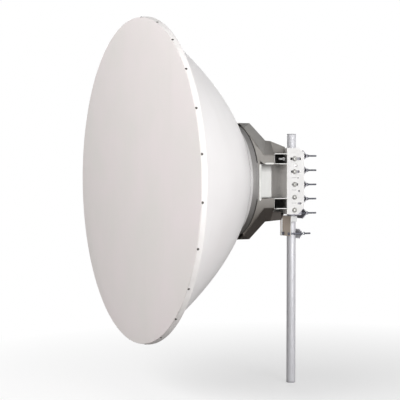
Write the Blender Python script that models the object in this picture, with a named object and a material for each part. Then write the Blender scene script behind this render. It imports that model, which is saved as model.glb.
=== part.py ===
import math

import bmesh
import bpy
from mathutils import Matrix, Vector

# A deep parabolic microwave antenna with a flat radome, clamped to a short steel pole.
# Metres, +Z up. The origin is the centre of the pole's foot, and the dish looks along -Y.

MM = 0.001
GAP = 0.3 * MM
CUT_MARGIN = 20 * MM
UPPER = 1
LOWER = -1
SIDES = {"left": -1, "right": 1}

# Pole and its height under the dish axis
POLE_RADIUS = 26.5 * MM
POLE_WALL = 3.2 * MM
POLE_LENGTH = 1475 * MM
AXIS_HEIGHT = 1203 * MM
PLUG_FLANGE = 4 * MM
PLUG_DEPTH = 30 * MM
POLE_SEGMENTS = 36

# Dish, measured back from the radome's face
FACE_Y = -996 * MM
FACE_RADIUS = 900 * MM
RADOME_THICKNESS = 4 * MM
RADOME_EDGE = 1.5 * MM
RIM_DEPTH = 32 * MM
RIM_REAR_RADIUS = 905 * MM
RIM_SHEET = 3 * MM
BOWL_RADIUS = 864 * MM
BOWL_DEPTH = 615 * MM
BOWL_FLAT_RADIUS = 300 * MM
BOWL_SHEET = 3 * MM
BOWL_STATIONS = 8
DISH_SEGMENTS = 64

# Hub drum behind the bowl
DRUM_RADIUS = 323 * MM
DRUM_WALL = 6 * MM
DRUM_REAR_Y = -380 * MM
DRUM_PLATE = 5 * MM

# Hub bracket, a folded funnel from the drum to two channels, a little under the dish axis
BRACKET_Z = -5 * MM
SHEET = 5 * MM
SIDE_X = 118 * MM
SIDE_KNEE_Y = -243 * MM
SIDE_LOW_Z = 155 * MM
SIDE_HIGH_Z = 308 * MM
SIDE_FLARE_Y = -371 * MM
WINDOW_FRONT_Y = -267 * MM
CAP_HALF_WIDTH = 67 * MM
CAP_LOW_Z = 235 * MM
CAP_HIGH_Z = 334 * MM
CAP_FLARE_Y = -313 * MM
CAP_KNEE_Y = -210 * MM
CAP_FRONT_Y = -434.5 * MM
UPPER_TONGUE_START_Y = -185 * MM
UPPER_TONGUE_BEND = (-88 * MM, 201 * MM)
UPPER_TONGUE_END = (-80 * MM, 198.2 * MM)
UPPER_HEM_Z = 163 * MM
LOWER_TONGUE_END = (-105 * MM, 227 * MM)
LOWER_LIP_END = (-85.5 * MM, 190 * MM)
LOWER_HEM_Z = 180 * MM

# Channels between the hub bracket and the mount bracket
CHANNEL_FRONT_Y = -177 * MM
CHANNEL_INNER_Z = 98 * MM
CHANNEL_OUTER_Z = 161 * MM
CHANNEL_BEND = 5 * MM

# Feed housing between the side plates
HOUSING_HALF_WIDTH = 35 * MM
HOUSING_HALF_HEIGHT = 97.4 * MM
HOUSING_REAR_Y = -146 * MM
HOUSING_CORNER = 14 * MM

# Mount bracket: a web and two cheeks around the pole
WEB_FRONT_Y = -85 * MM
BRACKET_SHEET = 6 * MM
CHEEK_X = 101 * MM
CHEEK_REAR_Y = 30 * MM
CHEEK_HALF_HEIGHT = 193 * MM
CHEEK_TOP_CHAMFER = (41 * MM, 26 * MM)
CHEEK_BOTTOM_CHAMFER = (40 * MM, 36 * MM)

# Cross bolts: the lowest is the elevation pivot and the others run in slots
BOLT_Y = -35 * MM
BOLT_RADIUS = 6 * MM
BOLT_PITCH = 74.8 * MM
PIVOT_Z = -169.5 * MM
BOLT_COUNT = 5
ELEVATION_RANGE = math.radians(4.5)
SLOT_PLAY = 0.8 * MM
SLOT_SPARE = math.radians(2.5)
WASHER_RADIUS = 15 * MM
WASHER_THICKNESS = 2.5 * MM
HEAD_RADIUS = 10.5 * MM
HEAD_HEIGHT = 8 * MM
BOLT_END = 7 * MM

# Clamp carriage inside the cheeks
CARRIAGE_X = 90 * MM
CARRIAGE_SHEET = 6 * MM
CARRIAGE_TOP_Z = 172 * MM
CARRIAGE_BOTTOM_Z = -200 * MM
CARRIAGE_TOP_FRONT_Y = -46 * MM
CARRIAGE_BOTTOM_FRONT_Y = -64 * MM
LIP_REAR_Y = 20 * MM
LIP_INNER_X = 37 * MM
SADDLE_Z = (22 * MM, -51 * MM, -127 * MM)
SADDLE_FRONT_Y = -50 * MM
SADDLE_REAR_Y = -6 * MM
SADDLE_SHEET = 6 * MM

# Angle bars and studs that close the clamp behind the pole
BAR_LEG = 45 * MM
BAR_SHEET = 5 * MM
BAR_HALF_LENGTH = 88 * MM
BAR_MIDDLE_Z = -21 * MM
BAR_PITCH = 84 * MM
BAR_COUNT = 5
STUD_RADIUS = 5 * MM
STUD_X = 70 * MM
STUD_HEAD_RADIUS = 9.8 * MM
STUD_HEAD_HEIGHT = 6.4 * MM
STUD_WASHER_RADIUS = 10 * MM
STUD_WASHER_THICKNESS = 2 * MM
STUD_NUT_HEIGHT = 8.4 * MM
STUD_END_Y = 128 * MM

# Support collar on the pole, under the clamp
COLLAR_HALF_WIDTH = 50 * MM
COLLAR_TOP_Z = -212 * MM
COLLAR_BOTTOM_Z = -331 * MM
COLLAR_SHEET = 5 * MM
COLLAR_FLANGE = 15 * MM
COLLAR_EAR_HEIGHT = 33 * MM
COLLAR_EAR_REAR_Y = 12 * MM
COLLAR_BAR_Z = -317 * MM
COLLAR_BAR_LEG = 40 * MM
COLLAR_BAR_HALF_LENGTH = 54 * MM
COLLAR_STUD_X = 34 * MM
COLLAR_STUD_END_Y = 110 * MM

# Elevation screw in the mount bracket's web, its free end in the upper channel
SCREW_X = 68 * MM
SCREW_RADIUS = 6 * MM
SCREW_FRONT_Y = -122 * MM
SCREW_REAR_Y = -70.2 * MM
SCREW_NUT_RADIUS = 10.5 * MM
SCREW_NUT_HEIGHT = 8 * MM

# Thin round rods are turned with this many sides
ROD_SEGMENTS = 12


def clear_scene():
    for obj in list(bpy.data.objects):
        bpy.data.objects.remove(obj, do_unlink=True)


def make_material(name, colour, roughness, metallic):
    material = bpy.data.materials.new(name)
    material.use_nodes = True
    shader = material.node_tree.nodes["Principled BSDF"]
    shader.inputs["Base Color"].default_value = (*colour, 1.0)
    shader.inputs["Roughness"].default_value = roughness
    shader.inputs["Metallic"].default_value = metallic
    return material


def make_materials():
    return {
        "radome": make_material("radome_skin", (0.72, 0.68, 0.68), 0.55, 0.0),
        "paint": make_material("white_paint", (0.85, 0.84, 0.84), 0.38, 0.0),
        "rim": make_material("rim_paint", (0.70, 0.68, 0.68), 0.42, 0.0),
        "galvanised": make_material("galvanised_steel", (0.52, 0.50, 0.48), 0.50, 0.85),
        "bright": make_material("bright_zinc", (0.78, 0.78, 0.76), 0.42, 0.80),
        "pole": make_material("pole_steel", (0.62, 0.62, 0.66), 0.40, 0.85),
        "bolt": make_material("bolt_steel", (0.45, 0.45, 0.47), 0.35, 0.95),
        "housing": make_material("housing_metal", (0.80, 0.80, 0.79), 0.45, 0.30),
        "plug": make_material("plug_plastic", (0.55, 0.55, 0.57), 0.60, 0.0),
    }


def new_object(name, bm, material, parent, smooth_angle=None):
    bmesh.ops.recalc_face_normals(bm, faces=bm.faces)
    mesh = bpy.data.meshes.new(name)
    bm.to_mesh(mesh)
    bm.free()
    if smooth_angle is not None:
        mesh.shade_smooth()
        mesh.set_sharp_from_angle(angle=smooth_angle)
    mesh.materials.append(material)
    obj = bpy.data.objects.new(name, mesh)
    bpy.context.collection.objects.link(obj)
    obj.parent = parent
    return obj


def make_frame(name, location, parent=None):
    frame = bpy.data.objects.new(name, None)
    bpy.context.collection.objects.link(frame)
    frame.location = location
    frame.parent = parent
    return frame


def turned_body(profile, segments):
    """Spin a closed (radius, distance) profile about the Y axis."""
    bm = bmesh.new()
    points = [bm.verts.new((radius, along, 0.0)) for radius, along in profile]
    edges = [bm.edges.new((a, b)) for a, b in zip(points, points[1:])]
    open_on_axis = profile[0][0] == 0.0 and profile[-1][0] == 0.0
    if not open_on_axis:
        edges.append(bm.edges.new((points[-1], points[0])))
    bmesh.ops.spin(
        bm, geom=points + edges, cent=(0, 0, 0), axis=(0, 1, 0),
        angle=2 * math.pi, steps=segments, use_merge=True,
    )
    bmesh.ops.remove_doubles(bm, verts=bm.verts, dist=0.001 * MM)
    return bm


def prism_body(outline, direction, start, end):
    """Extrude an outline of 3-D points, given in a plane through the origin, along one axis."""
    bm = bmesh.new()
    axis = Vector(direction)
    first = [bm.verts.new(Vector(point) + axis * start) for point in outline]
    face = bm.faces.new(first)
    grown = bmesh.ops.extrude_face_region(bm, geom=[face])
    moved = [item for item in grown["geom"] if isinstance(item, bmesh.types.BMVert)]
    bmesh.ops.translate(bm, verts=moved, vec=axis * (end - start))
    return bm


def along_x(outline, start, end):
    return prism_body([(0.0, y, z) for y, z in outline], (1, 0, 0), start, end)


def along_z(outline, start, end):
    return prism_body([(x, y, 0.0) for x, y in outline], (0, 0, 1), start, end)


def arc(centre, radius, start_deg, end_deg, steps):
    """Points of a round stretch in a plane, from one angle to another."""
    points = []
    for step in range(steps + 1):
        angle = math.radians(start_deg + (end_deg - start_deg) * step / steps)
        points.append((centre[0] + radius * math.cos(angle), centre[1] + radius * math.sin(angle)))
    return points


def ring_points(radius, hexagonal, segments):
    """A round or six-sided ring with the same number of points, so that rings can be bridged."""
    points = []
    for step in range(segments):
        angle = 2 * math.pi * step / segments
        reach = radius
        if hexagonal:
            off_corner = math.fmod(angle, math.pi / 3) - math.pi / 6
            reach = radius * math.cos(math.pi / 6) / math.cos(off_corner)
        points.append((reach * math.cos(angle), reach * math.sin(angle)))
    return points


def rod_body(stations, direction, segments=ROD_SEGMENTS):
    """One closed body through (distance, radius, hexagonal) stations along X or Y."""
    bm = bmesh.new()
    rings = []
    for distance, radius, hexagonal in stations:
        ring = []
        for a, b in ring_points(radius, hexagonal, segments):
            point = (distance, a, b) if direction == "X" else (a, distance, b)
            ring.append(bm.verts.new(point))
        rings.append(ring)
    for lower, upper in zip(rings, rings[1:]):
        for step in range(segments):
            after = (step + 1) % segments
            bm.faces.new((lower[step], lower[after], upper[after], upper[step]))
    bm.faces.new(rings[0])
    bm.faces.new(rings[-1])
    return bm


def cut_away(obj, name, bm):
    cutter = new_object(name, bm, obj.data.materials[0], obj.parent)
    cutter.hide_render = True
    cutter.display_type = "WIRE"
    cut = obj.modifiers.new(name, "BOOLEAN")
    cut.operation = "DIFFERENCE"
    cut.solver = "EXACT"
    cut.object = cutter


def slot_outline(y, z, half_length, half_height):
    """A slot with round ends in the YZ plane."""
    straight = max(half_length - half_height, 0.0)
    rear = arc((y + straight, z), half_height, -90, 90, 8)
    front = arc((y - straight, z), half_height, 90, 270, 8)
    if straight == 0.0:
        return rear[:-1] + front[:-1]
    return rear + front


# Pole

def pole(root, materials):
    inner = POLE_RADIUS - POLE_WALL
    low = PLUG_FLANGE + GAP
    high = POLE_LENGTH - PLUG_FLANGE - GAP
    profile = [(POLE_RADIUS, low), (POLE_RADIUS, high), (inner, high), (inner, low)]
    bm = turned_body(profile, POLE_SEGMENTS)
    bmesh.ops.rotate(bm, verts=bm.verts, cent=(0, 0, 0), matrix=Matrix.Rotation(math.pi / 2, 3, "X"))
    return new_object("pole", bm, materials["pole"], root, math.radians(30))


def pole_plug(name, root, materials, base_z, inward):
    inside = POLE_RADIUS - POLE_WALL - GAP
    edge = 1.5 * MM
    profile = [
        (0.0, 0.0),
        (POLE_RADIUS - edge, 0.0),
        (POLE_RADIUS, edge),
        (POLE_RADIUS, PLUG_FLANGE),
        (inside, PLUG_FLANGE),
        (inside, PLUG_DEPTH),
        (0.0, PLUG_DEPTH),
    ]
    bm = turned_body(profile, POLE_SEGMENTS)
    turn = Matrix.Rotation(inward * math.pi / 2, 3, "X")
    bmesh.ops.rotate(bm, verts=bm.verts, cent=(0, 0, 0), matrix=turn)
    bmesh.ops.translate(bm, verts=bm.verts, vec=(0, 0, base_z))
    return new_object(name, bm, materials["plug"], root, math.radians(30))


# Support collar

def collar_plate(dish_axis, materials):
    rear = -POLE_RADIUS - GAP
    front = rear - COLLAR_SHEET
    reach = front - COLLAR_FLANGE
    outer = COLLAR_HALF_WIDTH
    inner = outer - COLLAR_SHEET
    plate = [(-outer, rear), (-outer, reach), (-inner, reach), (-inner, front), (outer, front), (outer, rear)]
    bm = along_z(plate, COLLAR_BOTTOM_Z, COLLAR_TOP_Z)
    obj = new_object("collar_plate", bm, materials["galvanised"], dish_axis)
    ears = [
        (-outer, COLLAR_EAR_REAR_Y), (-outer, rear - MM), (outer, rear - MM), (outer, COLLAR_EAR_REAR_Y),
        (inner, COLLAR_EAR_REAR_Y), (inner, rear), (-inner, rear), (-inner, COLLAR_EAR_REAR_Y),
    ]
    ear_bm = along_z(ears, COLLAR_TOP_Z - COLLAR_EAR_HEIGHT, COLLAR_TOP_Z)
    ear_body = new_object("collar_ears_shape", ear_bm, materials["galvanised"], dish_axis)
    ear_body.hide_render = True
    ear_body.display_type = "WIRE"
    join = obj.modifiers.new("ears", "BOOLEAN")
    join.operation = "UNION"
    join.solver = "EXACT"
    join.object = ear_body
    for side_name, side in SIDES.items():
        hole = rod_body([(reach, STUD_RADIUS + GAP, False), (0.0, STUD_RADIUS + GAP, False)], "Y")
        bmesh.ops.translate(hole, verts=hole.verts, vec=(side * COLLAR_STUD_X, 0, COLLAR_BAR_Z))
        cut_away(obj, f"collar_hole_{side_name}", hole)
    return obj


# Angle bars and studs

def bar_apex_y(leg):
    """The corner's distance behind the pole axis, so that the legs' inner edges meet the pole."""
    diagonal = math.sqrt(0.5)
    return POLE_RADIUS + GAP + (leg + BAR_SHEET) * diagonal


def angle_bar(name, parent, materials, z, leg, half_length, stud_x):
    apex = bar_apex_y(leg)
    diagonal = math.sqrt(0.5)
    leg = leg * diagonal
    sheet = BAR_SHEET * diagonal
    outline = [
        (apex, 0.0),
        (apex - leg, leg),
        (apex - leg - sheet, leg - sheet),
        (apex - 2 * sheet, 0.0),
        (apex - leg - sheet, sheet - leg),
        (apex - leg, -leg),
    ]
    bm = along_x([(y, z + dz) for y, dz in outline], -half_length, half_length)
    obj = new_object(name, bm, materials["galvanised"], parent)
    for side_name, side in SIDES.items():
        radius = STUD_RADIUS + GAP
        hole = rod_body([(apex - CUT_MARGIN, radius, False), (apex + CUT_MARGIN, radius, False)], "Y")
        bmesh.ops.translate(hole, verts=hole.verts, vec=(side * stud_x, 0, z))
        cut_away(obj, f"{name}_hole_{side_name}", hole)
    return obj


def clamp_stud(name, parent, materials, x, z, leg, head_seat_y, end_y):
    """A bolt with its head against head_seat_y, and a washer and nut behind the bar's corner."""
    washer = bar_apex_y(leg) + GAP
    nut = washer + STUD_WASHER_THICKNESS
    nut_end = nut + STUD_NUT_HEIGHT
    tip = 1.5 * MM
    stations = [
        (head_seat_y - STUD_HEAD_HEIGHT - GAP, STUD_HEAD_RADIUS, True),
        (head_seat_y - GAP, STUD_HEAD_RADIUS, True),
        (head_seat_y - GAP, STUD_RADIUS, False),
        (washer, STUD_RADIUS, False),
        (washer, STUD_WASHER_RADIUS, False),
        (nut, STUD_WASHER_RADIUS, False),
        (nut, STUD_HEAD_RADIUS, True),
        (nut_end, STUD_HEAD_RADIUS, True),
        (nut_end, STUD_RADIUS, False),
        (end_y - tip, STUD_RADIUS, False),
        (end_y, STUD_RADIUS - tip, False),
    ]
    bm = rod_body(stations, "Y")
    bmesh.ops.translate(bm, verts=bm.verts, vec=(x, 0, z))
    return new_object(name, bm, materials["bolt"], parent, math.radians(30))


# Clamp carriage

def bolt_heights():
    return [PIVOT_Z + BOLT_PITCH * step for step in range(BOLT_COUNT)]


def bar_heights():
    top = BAR_MIDDLE_Z + BAR_PITCH * (BAR_COUNT - 1) / 2
    return [top - BAR_PITCH * step for step in range(BAR_COUNT)]


def carriage_side(side_name, side, parent, materials):
    """A plate beside the pole whose rear edge is folded in, to hold the studs' heads."""
    outline = [
        (CARRIAGE_BOTTOM_FRONT_Y, CARRIAGE_BOTTOM_Z),
        (LIP_REAR_Y, CARRIAGE_BOTTOM_Z),
        (LIP_REAR_Y, CARRIAGE_TOP_Z),
        (CARRIAGE_TOP_FRONT_Y, CARRIAGE_TOP_Z),
    ]
    inner = CARRIAGE_X - CARRIAGE_SHEET
    bm = along_x(outline, side * LIP_INNER_X, side * CARRIAGE_X)
    obj = new_object(f"carriage_side_{side_name}", bm, materials["galvanised"], parent)
    hollow = along_x(
        [
            (CARRIAGE_BOTTOM_FRONT_Y - CUT_MARGIN, CARRIAGE_BOTTOM_Z - CUT_MARGIN),
            (LIP_REAR_Y - CARRIAGE_SHEET, CARRIAGE_BOTTOM_Z - CUT_MARGIN),
            (LIP_REAR_Y - CARRIAGE_SHEET, CARRIAGE_TOP_Z + CUT_MARGIN),
            (CARRIAGE_BOTTOM_FRONT_Y - CUT_MARGIN, CARRIAGE_TOP_Z + CUT_MARGIN),
        ],
        side * (LIP_INNER_X - CUT_MARGIN), side * inner,
    )
    cut_away(obj, f"carriage_hollow_{side_name}", hollow)
    for index, z in enumerate(bolt_heights()):
        radius = BOLT_RADIUS + GAP
        hole = rod_body([(side * (inner - MM), radius, False), (side * (CARRIAGE_X + MM), radius, False)], "X")
        bmesh.ops.translate(hole, verts=hole.verts, vec=(0, BOLT_Y, z))
        cut_away(obj, f"carriage_bolt_hole_{side_name}_{index}", hole)
    for index, z in enumerate(bar_heights()):
        radius = STUD_RADIUS + GAP
        hole = rod_body([(LIP_REAR_Y - 2 * CARRIAGE_SHEET, radius, False), (LIP_REAR_Y + MM, radius, False)], "Y")
        bmesh.ops.translate(hole, verts=hole.verts, vec=(side * STUD_X, 0, z))
        cut_away(obj, f"carriage_stud_hole_{side_name}_{index}", hole)
    return obj


def saddle(index, z, parent, materials):
    """A level plate between the carriage sides, with a round notch that seats the pole."""
    half = CARRIAGE_X - CARRIAGE_SHEET - GAP
    radius = POLE_RADIUS + GAP
    open_deg = math.degrees(math.asin(-SADDLE_REAR_Y / radius))
    notch = arc((0.0, 0.0), radius, -open_deg, -180 + open_deg, 20)
    outline = [(-half, SADDLE_FRONT_Y), (half, SADDLE_FRONT_Y), (half, SADDLE_REAR_Y)]
    outline += notch
    outline.append((-half, SADDLE_REAR_Y))
    bm = along_z(outline, z - SADDLE_SHEET / 2, z + SADDLE_SHEET / 2)
    return new_object(f"pole_saddle_{index}", bm, materials["galvanised"], parent, math.radians(30))


def cross_bolt(name, z, parent, materials):
    """A bolt through both cheeks, with a head on the right and a nut on the left."""
    seat = CHEEK_X + GAP
    washer = seat + WASHER_THICKNESS
    head = washer + HEAD_HEIGHT
    right = [
        (seat, BOLT_RADIUS, False),
        (seat, WASHER_RADIUS, False),
        (washer, WASHER_RADIUS, False),
        (washer, HEAD_RADIUS, True),
        (head, HEAD_RADIUS, True),
    ]
    left = [(-distance, radius, hexagonal) for distance, radius, hexagonal in reversed(right)]
    thread_end = [(-head - BOLT_END, BOLT_RADIUS, False), (-head, BOLT_RADIUS, False)]
    bm = rod_body(thread_end + left + right, "X", 18)
    bmesh.ops.translate(bm, verts=bm.verts, vec=(0, BOLT_Y, z))
    return new_object(name, bm, materials["bolt"], parent, math.radians(30))


# Mount bracket

def mount_bracket(parent, materials):
    """A sheet folded to a web across the front and a cheek on each side of the pole."""
    top = CHEEK_HALF_HEIGHT
    cheek = [
        (WEB_FRONT_Y, -top),
        (CHEEK_REAR_Y - CHEEK_BOTTOM_CHAMFER[0], -top),
        (CHEEK_REAR_Y, -top + CHEEK_BOTTOM_CHAMFER[1]),
        (CHEEK_REAR_Y, top - CHEEK_TOP_CHAMFER[1]),
        (CHEEK_REAR_Y - CHEEK_TOP_CHAMFER[0], top),
        (WEB_FRONT_Y, top),
    ]
    bm = along_x(cheek, -CHEEK_X, CHEEK_X)
    obj = new_object("mount_bracket", bm, materials["bright"], parent)
    inner_x = CHEEK_X - BRACKET_SHEET
    inside = along_x(
        [
            (WEB_FRONT_Y + BRACKET_SHEET, -top - CUT_MARGIN),
            (CHEEK_REAR_Y + CUT_MARGIN, -top - CUT_MARGIN),
            (CHEEK_REAR_Y + CUT_MARGIN, top + CUT_MARGIN),
            (WEB_FRONT_Y + BRACKET_SHEET, top + CUT_MARGIN),
        ],
        -inner_x, inner_x,
    )
    cut_away(obj, "mount_bracket_inside", inside)
    for index, z in enumerate(bolt_heights()):
        swing = (z - PIVOT_Z) * math.sin(ELEVATION_RANGE)
        sag = (z - PIVOT_Z) * (1 - math.cos(ELEVATION_RANGE))
        play = SLOT_PLAY if index else GAP
        spare = (z - PIVOT_Z) * math.sin(SLOT_SPARE)
        half_height = BOLT_RADIUS + play + sag
        half_length = max(BOLT_RADIUS + play + swing, half_height) + spare / 2
        outline = slot_outline(BOLT_Y + spare / 2, z, half_length, half_height)
        slot = along_x(outline, -CHEEK_X - MM, CHEEK_X + MM)
        cut_away(obj, f"bolt_slot_{index}", slot)
    radius = SCREW_RADIUS + GAP
    passage = rod_body([(WEB_FRONT_Y - MM, radius, False), (WEB_FRONT_Y + 2 * BRACKET_SHEET, radius, False)], "Y")
    bmesh.ops.translate(passage, verts=passage.verts, vec=(SCREW_X, 0, screw_z()))
    cut_away(obj, "screw_passage", passage)
    return obj


def screw_z():
    return (CHANNEL_INNER_Z + CHANNEL_OUTER_Z) / 2


def channel(name, level, parent, materials):
    """A folded channel across the dish axis, open to the rear."""
    rear = WEB_FRONT_Y - GAP
    front = CHANNEL_FRONT_Y
    low = CHANNEL_INNER_Z
    high = CHANNEL_OUTER_Z
    outer = [(rear, low)] + arc((front + CHANNEL_BEND, low + CHANNEL_BEND), CHANNEL_BEND, -90, -180, 3)
    outer += arc((front + CHANNEL_BEND, high - CHANNEL_BEND), CHANNEL_BEND, 180, 90, 3) + [(rear, high)]
    inner = [
        (rear, high - SHEET), (front + SHEET, high - SHEET), (front + SHEET, low + SHEET), (rear, low + SHEET),
    ]
    outline = [(y, level * z) for y, z in outer + inner]
    bm = along_x(outline, -SIDE_X, SIDE_X)
    return new_object(name, bm, materials["bright"], parent, math.radians(40))


def elevation_screw(parent, materials):
    """The screw that sets the tilt, held in the mount bracket's web by two nuts."""
    front_nut = WEB_FRONT_Y - GAP
    rear_nut = WEB_FRONT_Y + BRACKET_SHEET + GAP
    stations = [
        (SCREW_FRONT_Y, SCREW_RADIUS, False),
        (front_nut - SCREW_NUT_HEIGHT, SCREW_RADIUS, False),
        (front_nut - SCREW_NUT_HEIGHT, SCREW_NUT_RADIUS, True),
        (front_nut, SCREW_NUT_RADIUS, True),
        (front_nut, SCREW_RADIUS, False),
        (rear_nut, SCREW_RADIUS, False),
        (rear_nut, SCREW_NUT_RADIUS, True),
        (rear_nut + SCREW_NUT_HEIGHT, SCREW_NUT_RADIUS, True),
        (rear_nut + SCREW_NUT_HEIGHT, SCREW_RADIUS, False),
        (SCREW_REAR_Y, SCREW_RADIUS, False),
    ]
    bm = rod_body(stations, "Y")
    bmesh.ops.translate(bm, verts=bm.verts, vec=(SCREW_X, 0, screw_z()))
    return new_object("elevation_screw", bm, materials["bolt"], parent, math.radians(30))


# Hub bracket

def side_plate(side_name, side, parent, materials):
    """The funnel's side, forked at the rear so that its window runs out between the channels."""
    front = DRUM_REAR_Y + GAP
    rear = CHANNEL_FRONT_Y - GAP
    inset = SHEET + GAP
    half = [
        (rear, CHANNEL_INNER_Z),
        (rear, SIDE_LOW_Z - inset),
        (SIDE_KNEE_Y - inset / 2, SIDE_LOW_Z - inset),
        (SIDE_FLARE_Y - inset, SIDE_HIGH_Z - inset),
        (front, SIDE_HIGH_Z - inset),
    ]
    mirrored = [(y, -z) for y, z in reversed(half)]
    window = [(WINDOW_FRONT_Y, -CHANNEL_INNER_Z), (WINDOW_FRONT_Y, CHANNEL_INNER_Z)]
    bm = along_x(half + mirrored + window, side * (SIDE_X - SHEET), side * SIDE_X)
    return new_object(f"side_plate_{side_name}", bm, materials["galvanised"], parent)


def cap_sheet(name, level, tongue, hem_z, parent, materials):
    """A folded sheet over the funnel: a crown, a flank on each side, and a rear tongue with hems turned in."""
    bm = bmesh.new()
    drum_y = DRUM_REAR_Y + GAP
    channel_y = CHANNEL_FRONT_Y - GAP
    foot = [(drum_y, SIDE_HIGH_Z), (SIDE_FLARE_Y, SIDE_HIGH_Z), (SIDE_KNEE_Y, SIDE_LOW_Z), (channel_y, SIDE_LOW_Z)]
    crown = [(drum_y, CAP_HIGH_Z), (CAP_FLARE_Y, CAP_HIGH_Z), (CAP_KNEE_Y, CAP_LOW_Z)]
    crown.append(tongue_start(tongue, channel_y))
    rows = {}
    for side in (-1, 1):
        rows["foot", side] = [bm.verts.new((side * SIDE_X, y, level * z)) for y, z in foot]
        rows["crown", side] = [bm.verts.new((side * CAP_HALF_WIDTH, y, level * z)) for y, z in crown]
        rows["front", side] = bm.verts.new((side * CAP_HALF_WIDTH, CAP_FRONT_Y, level * CAP_HIGH_Z))
        rows["tongue", side] = [bm.verts.new((side * CAP_HALF_WIDTH, y, level * z)) for y, z in tongue[1:]]
        low = rows["foot", side]
        high = rows["crown", side]
        for step in range(len(foot) - 1):
            bm.faces.new((low[step], low[step + 1], high[step]))
            bm.faces.new((low[step + 1], high[step + 1], high[step]))
        bend = rows["tongue", side][0]
        front_hem = bm.verts.new((side * CAP_HALF_WIDTH, channel_y, level * hem_z))
        rear_hem = bm.verts.new((side * CAP_HALF_WIDTH, bend.co.y, level * hem_z))
        bm.faces.new((high[-1], bend, rear_hem, front_hem))
    near = [rows["front", 1]] + rows["crown", 1] + rows["tongue", 1]
    far = [rows["front", -1]] + rows["crown", -1] + rows["tongue", -1]
    for step in range(len(near) - 1):
        bm.faces.new((near[step], near[step + 1], far[step + 1], far[step]))
    obj = new_object(name, bm, materials["galvanised"], parent)
    outward = any(poly.normal.z * level > 0.9 for poly in obj.data.polygons)
    thicken = obj.modifiers.new("sheet", "SOLIDIFY")
    thicken.thickness = SHEET
    thicken.offset = -1.0 if outward else 1.0
    thicken.use_even_offset = True
    return obj


def tongue_start(tongue, y):
    """The point of the crown's line from its knee to the tongue that lies at a given y."""
    (start_y, start_z), (end_y, end_z) = tongue[0], tongue[1]
    share = (y - start_y) / (end_y - start_y)
    return (y, start_z + share * (end_z - start_z))


def feed_housing(parent, materials):
    """A box on the drum's back plate, behind the window, with rounded rear corners."""
    front = DRUM_REAR_Y + GAP
    corner = HOUSING_CORNER
    half = HOUSING_HALF_WIDTH
    outline = [(half, front)]
    outline += arc((half - corner, HOUSING_REAR_Y - corner), corner, 0, 90, 6)
    outline += arc((corner - half, HOUSING_REAR_Y - corner), corner, 90, 180, 6)
    outline.append((-half, front))
    bm = along_z(outline, -HOUSING_HALF_HEIGHT, HOUSING_HALF_HEIGHT)
    return new_object("feed_housing", bm, materials["housing"], parent, math.radians(30))


# Dish

def bowl_back(radius):
    """Distance along Y of the bowl's rear surface, a paraboloid."""
    rim_y = FACE_Y + RIM_DEPTH
    return rim_y + BOWL_DEPTH * (1 - (radius / BOWL_RADIUS) ** 2)


def bowl_front(radius):
    """The inner surface, one sheet thickness away at right angles to the rear one."""
    slope = 2 * BOWL_DEPTH * radius / BOWL_RADIUS ** 2
    return bowl_back(radius) - BOWL_SHEET * math.sqrt(1 + slope * slope)


def reflector(parent, materials):
    flange_rear = FACE_Y + RIM_DEPTH
    flange_front = flange_rear - RIM_SHEET
    flange_radius = RIM_REAR_RADIUS - RIM_SHEET - 1.2 * MM
    span = BOWL_RADIUS - DRUM_RADIUS
    radii = [BOWL_RADIUS - span * step / BOWL_STATIONS for step in range(BOWL_STATIONS + 1)]
    radii += [DRUM_RADIUS - DRUM_WALL, BOWL_FLAT_RADIUS]
    flat_back = bowl_back(BOWL_FLAT_RADIUS)
    outer = [(radius, bowl_back(radius)) for radius in radii]
    inner = [(radius - MM, bowl_front(radius)) for radius in reversed(radii[1:])]
    profile = [(flange_radius, flange_front), (flange_radius, flange_rear)]
    profile += outer
    profile.append((0.0, flat_back))
    profile.append((0.0, flat_back - BOWL_SHEET))
    profile += inner
    profile.append((BOWL_RADIUS - BOWL_SHEET, flange_front))
    bm = turned_body_closed_on_axis(profile, DISH_SEGMENTS)
    return new_object("reflector", bm, materials["paint"], parent, math.radians(30))


def turned_body_closed_on_axis(profile, segments):
    """Spin an outline whose one edge lies on the axis, without that edge."""
    first = profile.index(next(point for point in profile if point[0] == 0.0))
    opened = profile[first + 1:] + profile[:first + 1]
    return turned_body(opened, segments)


def radome(parent, materials):
    rear = FACE_Y + RADOME_THICKNESS
    profile = [
        (0.0, FACE_Y),
        (FACE_RADIUS - RADOME_EDGE, FACE_Y),
        (FACE_RADIUS, FACE_Y + RADOME_EDGE),
        (FACE_RADIUS, rear),
        (0.0, rear),
    ]
    bm = turned_body(profile, DISH_SEGMENTS)
    return new_object("radome", bm, materials["radome"], parent, math.radians(30))


def rim_band(parent, materials):
    front = FACE_Y + RADOME_THICKNESS + GAP
    rear = FACE_Y + RIM_DEPTH
    front_radius = FACE_RADIUS + GAP
    profile = [
        (front_radius, front),
        (RIM_REAR_RADIUS, rear),
        (RIM_REAR_RADIUS - RIM_SHEET, rear),
        (front_radius - RIM_SHEET, front),
    ]
    bm = turned_body(profile, DISH_SEGMENTS)
    return new_object("rim_band", bm, materials["rim"], parent, math.radians(30))


def hub_drum(parent, materials):
    inner = DRUM_RADIUS - DRUM_WALL
    plate_front = DRUM_REAR_Y - DRUM_PLATE
    profile = [
        (0.0, plate_front),
        (inner, plate_front),
        (inner, bowl_back(inner) + GAP),
        (DRUM_RADIUS, bowl_back(DRUM_RADIUS) + GAP),
        (DRUM_RADIUS, DRUM_REAR_Y),
        (0.0, DRUM_REAR_Y),
    ]
    bm = turned_body(profile, DISH_SEGMENTS)
    return new_object("hub_drum", bm, materials["galvanised"], parent, math.radians(30))


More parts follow.
